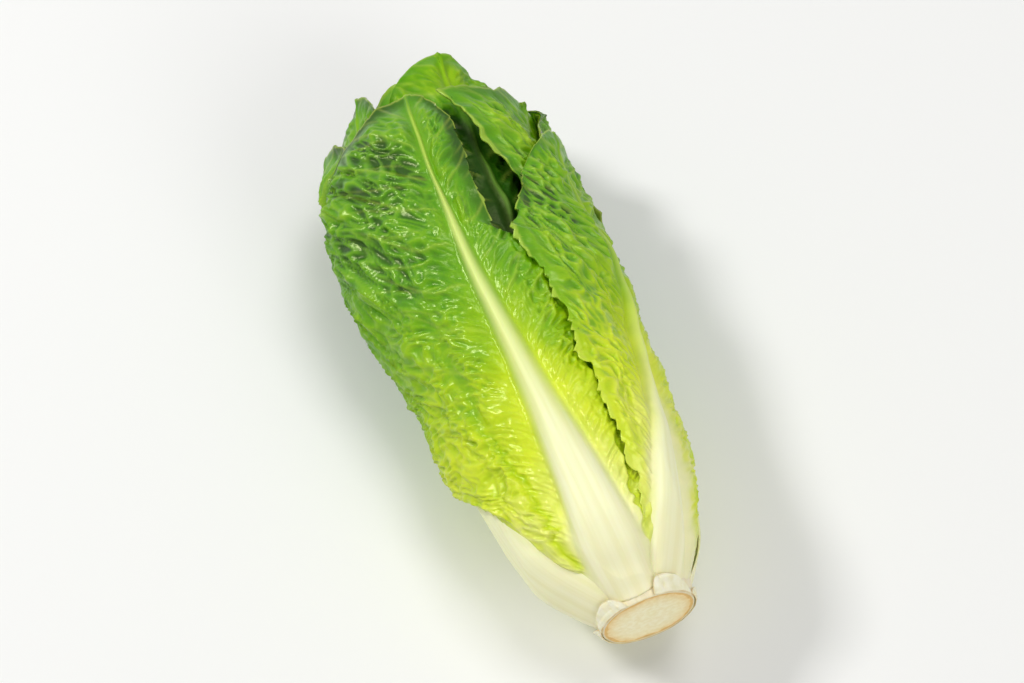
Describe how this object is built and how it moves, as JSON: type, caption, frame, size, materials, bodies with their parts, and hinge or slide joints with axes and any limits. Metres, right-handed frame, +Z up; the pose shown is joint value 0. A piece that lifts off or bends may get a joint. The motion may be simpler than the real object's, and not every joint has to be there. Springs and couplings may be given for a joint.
{
  "type": "romaine heart",
  "caption": "Romaine lettuce heart lying on its side: long overlapping ribbed leaves round a short stem with a flat cut end.",
  "frame": {"origin": "on the surface that the head lies on, under the middle of its bounding box", "axes": "+Z up, +Y along the head from the cut end of the stem to the leaf tips, +X to the right as seen from the cut end"},
  "size_m": [0.102, 0.252, 0.0821],
  "materials": {
    "stem": "moist matt cut flesh, cream with a tan rim",
    "outer_leaf": "waxy, blistered, dark green at the tip to white at the rib's foot",
    "inner_leaf": "waxy, blistered, yellow green to white",
    "heart_leaf": "waxy, crinkled, pale yellow",
    "leaf_base": "moist, smooth, cream white with tan cut edges"
  },
  "bodies": {
    "root": {"stem": "stem", "bottom_leaf": "outer_leaf", "right_leaf": "outer_leaf", "left_leaf": "outer_leaf", "lower_right_leaf": "outer_leaf", "front_leaf": "outer_leaf", "lower_left_leaf": "outer_leaf", "upper_right_leaf": "outer_leaf", "upper_left_leaf": "outer_leaf", "inner_leaf_1": "inner_leaf", "inner_leaf_2": "inner_leaf", "inner_leaf_3": "inner_leaf", "inner_leaf_4": "inner_leaf", "inner_leaf_5": "inner_leaf", "inner_leaf_6": "inner_leaf", "heart_leaf_1": "heart_leaf", "heart_leaf_2": "heart_leaf", "heart_leaf_3": "heart_leaf", "heart_leaf_4": "heart_leaf", "heart_leaf_5": "heart_leaf", "heart_leaf_6": "heart_leaf", "heart_leaf_7": "heart_leaf", "trimmed_leaf_base_1": "leaf_base", "trimmed_leaf_base_2": "leaf_base", "trimmed_leaf_base_3": "leaf_base", "trimmed_leaf_base_4": "leaf_base", "trimmed_leaf_base_5": "leaf_base"}
  },
  "joints": []
}
